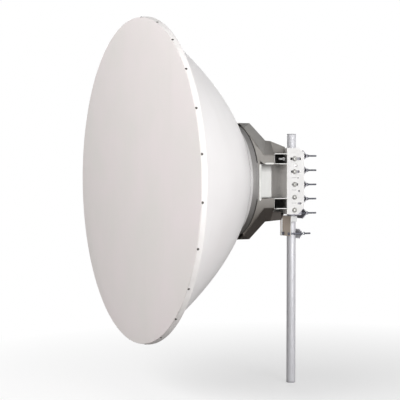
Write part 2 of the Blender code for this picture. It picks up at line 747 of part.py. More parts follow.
def build_pole(root, dish_axis, materials):
    pole(root, materials)
    pole_plug("pole_foot_plug", root, materials, 0.0, UPPER)
    pole_plug("pole_cap", root, materials, POLE_LENGTH, LOWER)
    collar_plate(dish_axis, materials)
    leg = COLLAR_BAR_LEG
    angle_bar("collar_bar", dish_axis, materials, COLLAR_BAR_Z, leg, COLLAR_BAR_HALF_LENGTH, COLLAR_STUD_X)
    seat = -POLE_RADIUS - GAP - COLLAR_SHEET
    for side_name, side in SIDES.items():
        name = f"collar_stud_{side_name}"
        x = side * COLLAR_STUD_X
        clamp_stud(name, dish_axis, materials, x, COLLAR_BAR_Z, leg, seat, COLLAR_STUD_END_Y)


def build_clamp(clamp, materials):
    for side_name, side in SIDES.items():
        carriage_side(side_name, side, clamp, materials)
    for index, z in enumerate(SADDLE_Z, start=1):
        saddle(index, z, clamp, materials)
    seat = LIP_REAR_Y - CARRIAGE_SHEET
    for index, z in enumerate(bar_heights(), start=1):
        angle_bar(f"clamp_bar_{index}", clamp, materials, z, BAR_LEG, BAR_HALF_LENGTH, STUD_X)
        for side_name, side in SIDES.items():
            name = f"clamp_stud_{index}_{side_name}"
            clamp_stud(name, clamp, materials, side * STUD_X, z, BAR_LEG, seat, STUD_END_Y)
    cross_bolt("pivot_bolt", PIVOT_Z, clamp, materials)
    for index, z in enumerate(bolt_heights()[1:], start=1):
        cross_bolt(f"slot_bolt_{index}", z, clamp, materials)


def build_bracket(bracket, materials):
    mount_bracket(bracket, materials)
    channel("upper_channel", UPPER, bracket, materials)
    channel("lower_channel", LOWER, bracket, materials)
    elevation_screw(bracket, materials)
    for side_name, side in SIDES.items():
        side_plate(side_name, side, bracket, materials)
    upper_tongue = [(UPPER_TONGUE_START_Y, CAP_LOW_Z), UPPER_TONGUE_BEND, UPPER_TONGUE_END]
    lower_tongue = [(CAP_KNEE_Y, CAP_LOW_Z), LOWER_TONGUE_END, LOWER_LIP_END]
    cap_sheet("upper_cap", UPPER, upper_tongue, UPPER_HEM_Z, bracket, materials)
    cap_sheet("lower_cap", LOWER, lower_tongue, LOWER_HEM_Z, bracket, materials)
    feed_housing(bracket, materials)


def build_dish(dish, materials):
    hub_drum(dish, materials)
    reflector(dish, materials)
    rim_band(dish, materials)
    radome(dish, materials)


def main():
    clear_scene()
    materials = make_materials()
    root = make_frame("pole_foot", (0, 0, 0))
    dish_axis = make_frame("dish_axis_height", (0, 0, AXIS_HEIGHT), root)
    azimuth = make_frame("azimuth_axis", (0, 0, 0), dish_axis)
    dish = make_frame("elevation_axis", (0, 0, 0), azimuth)
    build_pole(root, dish_axis, materials)
    clamp = make_frame("clamp_height", (0, 0, BRACKET_Z), azimuth)
    bracket = make_frame("bracket_height", (0, 0, BRACKET_Z), dish)
    build_clamp(clamp, materials)
    build_bracket(bracket, materials)
    build_dish(dish, materials)


main()
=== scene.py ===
import math
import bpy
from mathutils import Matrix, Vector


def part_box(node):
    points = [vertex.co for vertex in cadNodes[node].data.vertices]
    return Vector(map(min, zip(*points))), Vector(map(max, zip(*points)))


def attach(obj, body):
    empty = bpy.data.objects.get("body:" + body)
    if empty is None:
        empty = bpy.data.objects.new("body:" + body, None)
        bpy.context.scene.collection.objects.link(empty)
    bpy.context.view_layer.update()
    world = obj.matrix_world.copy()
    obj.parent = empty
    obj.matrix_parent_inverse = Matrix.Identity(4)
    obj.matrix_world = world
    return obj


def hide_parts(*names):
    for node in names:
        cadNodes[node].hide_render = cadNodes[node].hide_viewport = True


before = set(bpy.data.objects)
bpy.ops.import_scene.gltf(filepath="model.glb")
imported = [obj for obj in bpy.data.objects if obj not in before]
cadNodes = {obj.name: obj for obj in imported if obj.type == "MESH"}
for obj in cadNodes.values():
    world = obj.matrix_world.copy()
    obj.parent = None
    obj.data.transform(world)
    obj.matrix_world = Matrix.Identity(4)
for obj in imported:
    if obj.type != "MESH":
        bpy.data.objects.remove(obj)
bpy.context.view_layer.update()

from types import SimpleNamespace

import bmesh
import bpy
import numpy as np
from mathutils import Vector

# A deep dish antenna on its pole. Lengths below are in millimetres, and mm makes them metres.
mm = 0.001
dishAxisZ = sum(corner.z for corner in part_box("radome")) / 2
bracketZ = dishAxisZ - 5 * mm  # the bracket and the clamp stand a little under the dish's axis
alongX, alongY, alongZ = np.eye(3)
bothSides = (("Left", -1), ("Right", 1))


def linearColour(screen):
    # A screen colour of 0 to 255 as the linear light that shaders use
    share = np.array(screen) / 255
    light = np.where(share > 0.04045, ((share + 0.055) / 1.055) ** 2.4, share / 12.92)
    return (*light.tolist(), 1.0)


def measures(lengths=(), **others):
    # Named values: lengths are given in millimetres and kept in metres, and the others stay as given
    metres = {key: length * mm for key, length in dict(lengths).items()}
    return SimpleNamespace(**metres, **others)


def pieceName(node):
    # clamp_bar_1 becomes clampBar1
    first, *others = node.split("_")
    return first + "".join(word.capitalize() for word in others)


# Shells: each is (points, quads, triangles), closed, with its faces turned outwards

def roundAngles(columns):
    # Equal steps of one full turn
    return 2 * np.pi * np.arange(columns) / columns


def gridQuads(rows, columns, loopRows):
    # Quads between neighbouring points of a grid whose columns go all the way round
    startRows = np.arange(rows if loopRows else rows - 1)
    row, column = np.meshgrid(startRows, np.arange(columns), indexing="ij")
    nextRow = (row + 1) % rows
    nextColumn = (column + 1) % columns
    corners = [row * columns + column, row * columns + nextColumn]
    corners += [nextRow * columns + nextColumn, nextRow * columns + column]
    return np.stack(corners, -1).reshape(-1, 4)


def turnedOut(points, quads, triangles):
    # The signed volume under all faces is positive when a closed shell's faces point outwards
    tris = np.concatenate([quads[:, [0, 1, 2]], quads[:, [0, 2, 3]], triangles])
    a, b, c = points[tris[:, 0]], points[tris[:, 1]], points[tris[:, 2]]
    if np.einsum("ij,ij->i", a, np.cross(b, c)).sum() < 0:
        return points, quads[:, ::-1], triangles[:, ::-1]
    return points, quads, triangles


def fannedShell(points, ends, rows, columns):
    # A grid of rings whose first and last ring are each closed by a fan around an end point
    here = np.arange(columns)
    after = (here + 1) % columns
    firstEnd = rows * columns
    lastRow = firstEnd - columns
    start = np.stack([np.full(columns, firstEnd), after, here], -1)
    end = np.stack([np.full(columns, firstEnd + 1), lastRow + here, lastRow + after], -1)
    points = np.concatenate([points, ends])
    return turnedOut(points, gridQuads(rows, columns, False), np.concatenate([start, end]))


def turnedShell(centre, axis, along, radius, columns, loopRows=False):
    # Point = centre + along x axis + radius x (cos(angle) x first side + sin(angle) x second side).
    # Along and radius give one value a row, or one for each row and column. Open ends get a fan.
    axis = np.asarray(axis, float) / np.linalg.norm(axis)
    first = np.cross(axis, alongZ if abs(axis[2]) < 0.9 else alongX)
    first /= np.linalg.norm(first)
    second = np.cross(axis, first)
    rows = len(along)
    along = np.broadcast_to(np.reshape(along, (rows, -1)), (rows, columns))
    radius = np.broadcast_to(np.reshape(radius, (rows, -1)), (rows, columns))
    angle = roundAngles(columns)
    side = np.cos(angle)[:, None] * first + np.sin(angle)[:, None] * second
    points = (centre + along[..., None] * axis + radius[..., None] * side).reshape(-1, 3)
    if loopRows:
        return turnedOut(points, gridQuads(rows, columns, True), np.zeros((0, 3), int))
    ends = np.stack([centre + along[0].mean() * axis, centre + along[-1].mean() * axis])
    return fannedShell(points, ends, rows, columns)


def partWay(toward, reach):
    # The step towards each neighbour, at most reach long and at most 0.45 of the whole way
    length = np.linalg.norm(toward, axis=1)
    return toward * (np.minimum(reach, 0.45 * length) / length)[:, None]


def roundedOutline(corners, reach, steps=5):
    # Each corner becomes a curve (1-t)^2 x before + 2t(1-t) x corner + t^2 x after, where before and
    # after lie part of the way to the corner's two neighbours
    corners = np.asarray(corners, float)
    reach = np.broadcast_to(reach, (len(corners),))
    before = (corners + partWay(np.roll(corners, 1, axis=0) - corners, reach))[:, None]
    after = (corners + partWay(np.roll(corners, -1, axis=0) - corners, reach))[:, None]
    t = np.linspace(0, 1, steps)[None, :, None]
    curve = (1 - t) ** 2 * before + 2 * t * (1 - t) * corners[:, None] + t ** 2 * after
    return curve.reshape(-1, 2)


def washerShell(centre, axis, start, thickness, radius, columns=32):
    # A turned disc, its radius drawn in by edge over the same length at both faces
    edge = min(0.35 * mm, thickness * 0.3)
    along = [start, start + edge, start + thickness - edge, start + thickness]
    return turnedShell(centre, axis, along, [radius - edge, radius, radius, radius - edge], columns)


hexForm = measures(
    columns=48, rings=[0, 0.06, 0.12, 0.2, 0.5, 0.8, 0.88, 0.94, 1.0], chamferSlope=1.7, faceShare=0.95,
)
threadForm = measures(columns=16, ringsPerTurn=8, depth=0.55, sharpness=1.25, endDepth=1.3)
beadForm = measures(columns=10, ringsPerPitch=6, arcRings=90, endSize=0.4)


def hexShell(centre, axis, start, height, corner, chamferStart, chamferEnd):
    # Radius = the smaller of the hexagon's own reach at that angle and a cone at each chamfered end
    depth = np.array(hexForm.rings) * height
    angle = roundAngles(hexForm.columns)
    flat = corner * math.cos(math.pi / 6)
    hexagon = flat / np.cos(np.mod(angle, np.pi / 3) - np.pi / 6)
    radius = np.broadcast_to(hexagon, (len(depth), len(angle))).copy()
    face = flat * hexForm.faceShare
    if chamferStart:
        radius = np.minimum(radius, (face + hexForm.chamferSlope * depth)[:, None])
    if chamferEnd:
        radius = np.minimum(radius, (face + hexForm.chamferSlope * (height - depth))[:, None])
    return turnedShell(centre, axis, start + depth, radius, len(angle))


def threadShell(centre, axis, start, end, outer, pitch):
    # Radius = core + depth x the triangle wave of (length / pitch - angle / full turn), cut back by a
    # cone at the free end
    columns = threadForm.columns
    length = abs(end - start)
    step = np.linspace(0, length, int(length / pitch * threadForm.ringsPerTurn) + 2)
    turn = np.arange(columns) / columns
    wave = 1 - np.abs(2 * np.mod(step[:, None] / pitch - turn[None, :], 1.0) - 1)
    depth = threadForm.depth * pitch
    radius = outer - depth + depth * np.clip(wave * threadForm.sharpness, 0, 1)
    cone = outer - depth * threadForm.endDepth + (length - step)
    radius = np.minimum(radius, cone[:, None])
    return turnedShell(centre, axis, start + math.copysign(1, end - start) * step, radius, columns)


def tubeShell(middle, size, first, second):
    # Point = middle + size x (cos(angle) x first + sin(angle) x second), with smaller rings at both ends
    angle = roundAngles(beadForm.columns)[None, :, None]
    size = np.r_[size[0] * beadForm.endSize, size[1:-1], size[-1] * beadForm.endSize]
    ring = np.cos(angle) * first[:, None] + np.sin(angle) * second[:, None]
    points = (middle[:, None] + size[:, None, None] * ring).reshape(-1, 3)
    return fannedShell(points, middle[[0, -1]], len(middle), beadForm.columns)


def beadShell(path, radius, ripple, pitch):
    # A round bead along a path across X: ring radius = radius x (1 + ripple x sin(length / pitch))
    path = np.asarray(path, float)
    steps = np.linalg.norm(np.diff(path, axis=0), axis=1)
    length = np.r_[0.0, np.cumsum(steps)]
    at = np.linspace(0, length[-1], int(length[-1] / pitch * beadForm.ringsPerPitch) + 2)
    middle = np.stack([np.interp(at, length, path[:, k]) for k in range(3)], -1)
    ahead = np.gradient(middle, axis=0)
    ahead /= np.linalg.norm(ahead, axis=1)[:, None]
    across = np.cross(ahead, alongX)
    across /= np.linalg.norm(across, axis=1)[:, None]
    size = radius * (1 + ripple * np.sin(2 * np.pi * at / pitch))
    return tubeShell(middle, size, np.broadcast_to(alongX, middle.shape), across)


def arcBead(centre, reach, radius, lowDegrees, highDegrees):
    # A round bead along an arc about the Y axis: middle = centre + reach x (cos angle, 0, sin angle)
    rings = beadForm.arcRings
    angle = np.radians(np.linspace(lowDegrees, highDegrees, rings))
    outward = np.stack([np.cos(angle), np.zeros(rings), np.sin(angle)], -1)
    along = np.broadcast_to(alongY, outward.shape)
    return tubeShell(centre + reach * outward, np.full(rings, radius), outward, along)


def prismShell(section, along, shrink, order):
    # Point = middle + shrink x (section - middle) at each value of along; order says which of the
    # section's two numbers and along becomes X, Y and Z
    section = np.asarray(section, float)
    columns = len(section)
    middle = section.mean(axis=0)
    flat = middle + np.asarray(shrink)[:, None, None] * (section - middle)
    height = np.broadcast_to(np.asarray(along, float)[:, None, None], (len(along), columns, 1))
    points = np.concatenate([flat, height], -1).reshape(-1, 3)
    ends = np.array([(*middle, along[0]), (*middle, along[-1])])
    return fannedShell(points[:, order], ends[:, order], len(along), columns)


smoothDegrees = 32  # a sharper edge than this stays an edge in the shading


def addObject(name, data):
    made = bpy.data.objects.new(name, data)
    bpy.context.scene.collection.objects.link(made)
    return made


def smoothMesh(mesh, degrees):
    mesh.shade_smooth()
    mesh.set_sharp_from_angle(angle=math.radians(degrees))


def meshPiece(name, shells, degrees=smoothDegrees):
    # All shells in one mesh: each one's faces count on from the points before it
    sizes = np.cumsum([0] + [len(shell[0]) for shell in shells])
    points = np.concatenate([shell[0] for shell in shells])
    quads = np.concatenate([shell[1] + size for shell, size in zip(shells, sizes)])
    triangles = np.concatenate([shell[2] + size for shell, size in zip(shells, sizes)])
    mesh = bpy.data.meshes.new(name)
    mesh.from_pydata(points.tolist(), [], quads.tolist() + triangles.tolist())
    smoothMesh(mesh, degrees)
    return addObject(name, mesh)


def settle(piece, body, slotName, finish, *standsFor):
    # Gives a finished piece its material and its body, and hides the nodes that it stands for
    piece.data.materials.clear()
    piece.data.materials.append(materials[finish])
    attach(piece, body)
    if standsFor:
        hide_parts(*standsFor)


def addPiece(name, shells, body, slotName, finish, *standsFor, degrees=smoothDegrees):
    settle(meshPiece(name, shells, degrees), body, slotName, finish, *standsFor)


# Shader nodes and node groups

def fillInputs(tree, node, inputs):
    # A socket is linked, and anything else becomes the input's own value
    for name, value in inputs.items():
        if isinstance(value, bpy.types.NodeSocket):
            tree.links.new(value, node.inputs[name])
        else:
            node.inputs[name].default_value = value


def newNode(tree, kind, inputs=None, **settings):
    made = tree.nodes.new("ShaderNode" + kind)
    for name, value in settings.items():
        setattr(made, name, value)
    fillInputs(tree, made, inputs or {})
    return made


def mathOf(tree, operation, first, second, **settings):
    inputs = {0: first, 1: second}
    return newNode(tree, "Math", inputs, operation=operation, **settings).outputs[0]


def noiseOf(tree, vector, scale, detail):
    inputs = {"Vector": vector, "Scale": scale, "Detail": detail}
    return newNode(tree, "TexNoise", inputs).outputs


def rangeOf(tree, value, low, high, start=0.0, end=1.0):
    # Runs from low to high while value runs from start to end
    inputs = {"Value": value, "From Min": start, "From Max": end, "To Min": low, "To Max": high}
    return newNode(tree, "MapRange", inputs).outputs["Result"]


def axisOf(tree, vector, axis):
    return newNode(tree, "SeparateXYZ", {0: vector}).outputs[axis]


def layered(tree, look, layers):
    # The look's own colour, with each layer's colour laid over it where that layer's mask is
    base = look["colour"]
    for mask, key in layers:
        base = newNode(tree, "Mix", {0: mask, 6: base, 7: look[key]}, data_type="RGBA").outputs[2]
    return base


def newGroup(name, inputs, outputs):
    # An input without a value is a vector, and the others are numbers
    tree = bpy.data.node_groups.new(name, "ShaderNodeTree")
    for label, value in inputs.items():
        kind = "NodeSocketVector" if value is None else "NodeSocketFloat"
        socket = tree.interface.new_socket(name=label, in_out="INPUT", socket_type=kind)
        if value is not None:
            socket.default_value = value
    for label in outputs:
        tree.interface.new_socket(name=label, in_out="OUTPUT", socket_type="NodeSocketFloat")
    entry = tree.nodes.new("NodeGroupInput")
    leave = tree.nodes.new("NodeGroupOutput")
    return tree, entry.outputs, leave.inputs


def makeCrystalGroup():
    # Zinc crystals: each cell has its own tone, and the cells' borders are a little lower
    tree, given, out = newGroup("zincCrystals", {"Vector": None, "Scale": 80.0}, ["Tone", "Height"])
    bend = {0: noiseOf(tree, given["Vector"], 60.0, 2.0)["Color"], "Scale": 0.006}
    shift = newNode(tree, "VectorMath", bend, operation="SCALE")
    both = {0: given["Vector"], 1: shift.outputs[0]}
    moved = newNode(tree, "VectorMath", both, operation="ADD")
    cells = newNode(tree, "TexVoronoi", {"Vector": moved.outputs[0], "Scale": given["Scale"]})
    tone = newNode(tree, "SeparateColor", {0: cells.outputs["Color"]})
    tree.links.new(tone.outputs[0], out["Tone"])
    tree.links.new(cells.outputs["Distance"], out["Height"])
    return tree


def makeGrainGroup():
    # Two noises: one for slow patches, one for the fine grain of the surface
    inputs = {"Vector": None, "Patch Scale": 4.0, "Grain Scale": 900.0}
    tree, given, out = newGroup("patchAndGrain", inputs, ["Patch", "Grain"])
    patch = noiseOf(tree, given["Vector"], given["Patch Scale"], 3.0)["Fac"]
    grain = noiseOf(tree, given["Vector"], given["Grain Scale"], 2.0)["Fac"]
    tree.links.new(patch, out["Patch"])
    tree.links.new(grain, out["Grain"])
    return tree


def makeEdgeGroup():
    # Mask = how far a rounded normal turns from the surface's own, broken up by a noise
    inputs = {"Vector": None, "Radius": 1.5 * mm, "Amount": 1.0}
    tree, given, out = newGroup("edgeWear", inputs, ["Mask"])
    rounded = newNode(tree, "Bevel", {"Radius": given["Radius"]}, samples=4)
    surface = newNode(tree, "NewGeometry")
    normals = {0: rounded.outputs["Normal"], 1: surface.outputs["Normal"]}
    likeness = newNode(tree, "VectorMath", normals, operation="DOT_PRODUCT")
    turn = mathOf(tree, "SUBTRACT", 1.0, likeness.outputs["Value"])
    strong = mathOf(tree, "MULTIPLY", turn, 6.0)
    broken = mathOf(tree, "MULTIPLY", strong, noiseOf(tree, given["Vector"], 160.0, 3.0)["Fac"])
    level = mathOf(tree, "MULTIPLY", broken, given["Amount"], use_clamp=True)
    tree.links.new(level, out["Mask"])
    return tree


def makeCornerShadeGroup():
    # Painted shade: mask = how closed in a place is within a reach, raised to a power so that open faces
    # stay unshaded
    inputs = {"Reach": 0.05, "Power": 2.0, "Amount": 1.0}
    tree, given, out = newGroup("paintedCornerShade", inputs, ["Mask"])
    shade = newNode(tree, "AmbientOcclusion", {"Distance": given["Reach"]}, samples=6)
    closed = mathOf(tree, "SUBTRACT", 1.0, shade.outputs["AO"])
    raised = mathOf(tree, "POWER", closed, given["Power"])
    level = mathOf(tree, "MULTIPLY", raised, given["Amount"], use_clamp=True)
    tree.links.new(level, out["Mask"])
    return tree


def makeStreakGroup():
    # Mask = noise drawn out down the Z axis, as rain leaves it
    tree, given, out = newGroup("rainStreaks", {"Vector": None, "Scale": 30.0}, ["Mask"])
    drawn = newNode(tree, "Mapping", {"Vector": given["Vector"], "Scale": (1.0, 1.0, 0.06)})
    noise = noiseOf(tree, drawn.outputs[0], given["Scale"], 4.0)["Fac"]
    tree.links.new(rangeOf(tree, noise, 0.0, 1.0, 0.5, 0.78), out["Mask"])
    return tree


groups = {
    "crystals": makeCrystalGroup(),
    "grain": makeGrainGroup(),
    "edge": makeEdgeGroup(),
    "streaks": makeStreakGroup(),
    "corners": makeCornerShadeGroup(),
}
print("node groups made")


# Materials

def startMaterial(name, colour, roughness, metallic):
    material = bpy.data.materials.new(name)
    material.use_nodes = True
    tree = material.node_tree
    shader = tree.nodes["Principled BSDF"]
    fillInputs(tree, shader, {"Base Color": colour, "Roughness": roughness, "Metallic": metallic})
    place = newNode(tree, "TexCoord").outputs["Object"]
    return material, tree, shader, place


def useGroup(tree, name, inputs):
    return newNode(tree, "Group", inputs, node_tree=groups[name]).outputs


def bumpFrom(tree, shader, height, distance, strength, under=None):
    inputs = {"Height": height, "Distance": distance, "Strength": strength}
    if under is not None:
        inputs["Normal"] = under
    normal = newNode(tree, "Bump", inputs).outputs["Normal"]
    tree.links.new(normal, shader.inputs["Normal"])
    return normal


def inLight(look):
    # Three numbers in a look are a screen colour and become linear light
    return {key: linearColour(value) if isinstance(value, tuple) else value for key, value in look.items()}


def grainAndWear(tree, place, look):
    scales = {"Patch Scale": look["patchScale"], "Grain Scale": look["grainScale"]}
    wear = {"Vector": place, "Radius": look["edgeRadius"], "Amount": look["edgeAmount"]}
    return useGroup(tree, "grain", {"Vector": place, **scales}), useGroup(tree, "edge", wear)["Mask"]


def zincMaterial(name, look):
    # Hot-dip zinc: crystals in two tones, slow grey patches, pale worn edges, and painted shade in closed
    # corners and on faces turned down.
    # A look may also name a colour for painted light on faces to the front, and paint shade on its rear or
    # its lower part.
    look = inLight({**zincBase, **look})
    material, tree, shader, place = startMaterial(name, look["colour"], look["roughness"], look["metallic"])
    crystal = useGroup(tree, "crystals", {"Vector": place, "Scale": look["crystalScale"]})
    grain, worn = grainAndWear(tree, place, look)
    corner = {label: look["corner" + label] for label in ("Reach", "Power", "Amount")}
    # Painted shade in closed corners, which also takes the metal's shine away there
    grime = useGroup(tree, "corners", corner)["Mask"]
    facing = newNode(tree, "NewGeometry").outputs["Normal"]
    layers = [
        (rangeOf(tree, crystal["Tone"], 0.0, look["crystalContrast"]), "crystal"),
        (rangeOf(tree, grain["Patch"], 0.0, 0.6, 0.42, 0.7), "patch"),
    ]
    # Painted light: faces turned to the front take the front colour
    if "front" in look:
        layers.append((rangeOf(tree, axisOf(tree, facing, "Y"), 1.0, 0.0, -0.9, -0.5), "front"))
    # Painted shade: faces turned down take the under colour
    under = rangeOf(tree, axisOf(tree, facing, "Z"), look["underAmount"], 0.0, -0.75, -0.25)
    layers += [(worn, "edge"), (grime, "grime"), (under, "under")]
    # Painted shade: darker towards the rear, in the under colour
    if "rearShadeAmount" in look:
        rear = rangeOf(tree, axisOf(tree, place, "Y"), 0.0, look["rearShadeAmount"], -0.25, -0.18)
        layers.append((rear, "under"))
    # Painted shade: darker towards the bottom, in the under colour
    if "lowAmount" in look:
        heights = (dishAxisZ - look["lowReach"], dishAxisZ - look["lowShadeStart"])
        low = rangeOf(tree, axisOf(tree, place, "Z"), look["lowAmount"], 0.0, *heights)
        layers.append((low, "under"))
    base = layered(tree, look, layers)
    fillInputs(tree, shader, {
        "Base Color": base,
        "Roughness": rangeOf(tree, crystal["Tone"], look["roughness"] - 0.07, look["roughness"] + 0.09),
        "Metallic": rangeOf(tree, grime, look["metallic"], 0.0),
        "Specular IOR Level": rangeOf(tree, grime, 0.5, 0.06),
    })
    cellBump = bumpFrom(tree, shader, crystal["Height"], look["crystalDepth"], 0.35)
    bumpFrom(tree, shader, grain["Grain"], look["grainDepth"], 0.5, cellBump)
    return material


def enamelMaterial(name, look):
    # Sprayed paint: slow patches, orange peel, rain streaks and a little wear at the edges, and a painted
    # shadow where a look names a shade colour
    look = inLight({**enamelBase, **look})
    material, tree, shader, place = startMaterial(name, look["colour"], look["roughness"], 0.0)
    streaks = useGroup(tree, "streaks", {"Vector": place, "Scale": look["streakScale"]})
    grain, worn = grainAndWear(tree, place, look)
    layers = [
        (rangeOf(tree, grain["Patch"], 0.0, 1.0, 0.3, 0.7), "patch"),
        (rangeOf(tree, streaks["Mask"], 0.0, look["streakAmount"]), "streak"),
        (worn, "edge"),
    ]
    # Painted shadow: the shade colour grows from shadeFrom up to shadeTo
    if "shade" in look:
        height = axisOf(tree, place, "Z")
        layers.append((rangeOf(tree, height, 0.0, 0.95, look["shadeFrom"], look["shadeTo"]), "shade"))
    base = layered(tree, look, layers)
    rough = rangeOf(tree, grain["Patch"], look["roughness"] - 0.05, look["roughness"] + 0.07)
    fillInputs(tree, shader, {"Base Color": base, "Roughness": rough})
    bumpFrom(tree, shader, grain["Grain"], look["grainDepth"], 0.6)
    return material


# Looks: three numbers are a screen colour, and a look's own values go before those of its base

enamelBase = dict(edgeAmount=0.4, edgeRadius=1.5 * mm, streakAmount=0.2, grainDepth=0.10 * mm)
enamelLooks = {
    "radomeSheet": dict(
        colour=(222, 214, 214), patch=(217, 213, 210), streak=(196, 188, 184), edge=(190, 184, 180),
        roughness=0.62, patchScale=3.2, grainScale=700.0, grainDepth=0.12 * mm, streakScale=9.0,
        streakAmount=0.07, edgeAmount=0.3,
    ),
    "whiteEnamel": dict(
        colour=(240, 238, 238), patch=(234, 231, 231), streak=(212, 207, 203), edge=(205, 203, 200),
        roughness=0.36, patchScale=2.4, grainScale=520.0, streakScale=12.0, streakAmount=0.08,
    ),
    # The neck's white is the bowl's paint, painted darker as shade
    "neckEnamel": dict(
        colour=(192, 190, 190), patch=(186, 184, 184), streak=(170, 166, 162), edge=(168, 166, 163),
        roughness=0.4, patchScale=2.4, grainScale=520.0, streakScale=12.0, streakAmount=0.1,
    ),
    "rimEnamel": dict(
        colour=(232, 229, 228), patch=(225, 222, 220), streak=(196, 190, 186), edge=(190, 188, 184),
        roughness=0.34, patchScale=6.0, grainScale=600.0, grainDepth=0.08 * mm, streakScale=16.0,
        streakAmount=0.3, edgeAmount=0.6,
    ),
    # The housing's shade colour is painted shadow under the window's top edge
    "housingPaint": dict(
        colour=(234, 234, 232), patch=(226, 226, 223), streak=(206, 204, 198), edge=(190, 190, 186),
        roughness=0.45, patchScale=12.0, grainScale=900.0, grainDepth=0.06 * mm, streakScale=40.0,
        edgeAmount=0.6, shadeFrom=dishAxisZ + 46 * mm, shadeTo=dishAxisZ + 98 * mm, shade=(70, 66, 62),
    ),
    "plugPlastic": dict(
        colour=(172, 172, 177), patch=(160, 160, 166), streak=(140, 140, 144), edge=(196, 196, 200),
        roughness=0.6, patchScale=30.0, grainScale=1500.0, streakScale=60.0,
    ),
    # Dark strips painted as the shade in the drum's groove
    "grooveShade": dict(
        colour=(58, 55, 52), patch=(50, 48, 46), streak=(84, 80, 76), edge=(84, 80, 76), roughness=0.7,
        patchScale=20.0, grainScale=1500.0, grainDepth=0.08 * mm, streakScale=40.0, edgeAmount=0.3,
    ),
}
zincBase = dict(
    cornerPower=2.0, cornerAmount=0.9, crystalScale=110.0, crystalContrast=0.5, crystalDepth=0.05 * mm,
    patchScale=9.0, grainScale=1400.0, grainDepth=0.04 * mm, edgeAmount=0.5, edgeRadius=1.2 * mm,
    underAmount=0.4, lowShadeStart=80 * mm,
)
fastenerBase = dict(cornerPower=1.4, crystalScale=900.0)
# In each zinc look the colour for closed corners is painted shade, the under colour is painted shade on
# faces turned down and on rear or lower parts, and the front colour is painted light on faces turned to the
# front
zincLooks = {
    "dullZinc": dict(
        colour=(138, 135, 131), crystal=(151, 148, 143), patch=(128, 124, 120), edge=(186, 183, 178),
        grime=(44, 41, 37), under=(70, 64, 57), roughness=0.52, metallic=0.45, cornerReach=0.045,
        crystalScale=90.0, crystalContrast=0.6, underAmount=0.75, lowAmount=0.85, lowReach=0.22,
    ),
    "shadedZinc": dict(
        colour=(64, 58, 54), crystal=(78, 72, 67), patch=(58, 53, 49), edge=(140, 136, 130),
        grime=(34, 30, 26), under=(56, 51, 46), roughness=0.6, metallic=0.3, cornerReach=0.045,
        crystalScale=90.0, crystalContrast=0.6, underAmount=0.7,
    ),
    "brightZinc": dict(
        colour=(228, 228, 224), crystal=(238, 238, 236), patch=(214, 214, 210), edge=(244, 244, 242),
        grime=(26, 23, 19), under=(150, 147, 142), roughness=0.58, metallic=0.1, cornerReach=0.12,
        cornerPower=2.4, cornerAmount=3.0,
    ),
    "cheekZinc": dict(
        colour=(229, 228, 227), crystal=(236, 235, 234), patch=(216, 215, 213), edge=(242, 242, 240),
        grime=(30, 27, 22), under=(150, 147, 142), front=(252, 248, 244), roughness=0.62,
        metallic=0.05, cornerReach=0.12, cornerPower=9.0, cornerAmount=5.0, crystalScale=70.0,
        crystalContrast=0.4, edgeAmount=0.4,
    ),
    "barZinc": dict(
        colour=(172, 171, 178), crystal=(178, 177, 183), patch=(152, 150, 158), edge=(178, 178, 184),
        grime=(48, 46, 48), under=(128, 126, 132), roughness=0.5, metallic=0.35, cornerReach=0.02,
        cornerAmount=0.3, edgeAmount=0.6,
    ),
    "collarZinc": dict(
        colour=(226, 227, 227), crystal=(232, 233, 234), patch=(214, 214, 214), edge=(236, 236, 236),
        grime=(92, 80, 70), under=(150, 140, 132), front=(250, 234, 218), roughness=0.56,
        metallic=0.15, cornerReach=0.05, cornerAmount=0.4, crystalContrast=0.6,
    ),
    "drumZinc": dict(
        colour=(140, 138, 137), crystal=(151, 149, 148), patch=(126, 124, 122), edge=(168, 167, 166),
        grime=(60, 57, 54), under=(80, 77, 74), roughness=0.5, metallic=0.3, cornerReach=0.03,
        cornerAmount=0.8, crystalScale=60.0, edgeAmount=0.4, underAmount=0.7, lowAmount=0.4,
        lowReach=0.26,
    ),
    "poleZinc": dict(
        colour=(212, 212, 216), crystal=(214, 214, 218), patch=(204, 204, 209), edge=(228, 228, 230),
        grime=(96, 94, 94), under=(150, 148, 148), roughness=0.48, metallic=0.25, cornerReach=0.03,
        cornerAmount=0.7, crystalScale=120.0, crystalContrast=0.25, edgeAmount=0.6, underAmount=0.3,
    ),
    "boltZinc": dict(
        **fastenerBase, colour=(172, 171, 168), crystal=(188, 187, 184), patch=(146, 144, 140),
        edge=(214, 213, 210), grime=(54, 54, 56), under=(88, 86, 86), roughness=0.34, metallic=0.75,
        cornerReach=0.008, edgeAmount=0.6, underAmount=0.5,
    ),
    "paleZinc": dict(
        colour=(222, 222, 222), crystal=(234, 234, 234), patch=(204, 204, 204), edge=(240, 240, 240),
        grime=(120, 118, 116), under=(150, 148, 146), roughness=0.4, metallic=0.1, cornerReach=0.003,
        cornerAmount=0.5, crystalScale=900.0, crystalContrast=0.4, edgeAmount=0.3, underAmount=0.3,
    ),
    "studZinc": dict(
        **fastenerBase, colour=(142, 144, 154), crystal=(158, 160, 170), patch=(122, 123, 132),
        edge=(186, 188, 198), grime=(34, 34, 38), under=(70, 70, 76), roughness=0.36, metallic=0.8,
        cornerReach=0.012, edgeAmount=0.6,
    ),
    "screwZinc": dict(
        **fastenerBase, colour=(92, 88, 84), crystal=(104, 100, 96), patch=(74, 71, 68),
        edge=(150, 148, 144), grime=(24, 23, 22), under=(60, 58, 56), roughness=0.4, metallic=0.6,
        cornerReach=0.006, crystalContrast=0.4, underAmount=0.3,
    ),
}
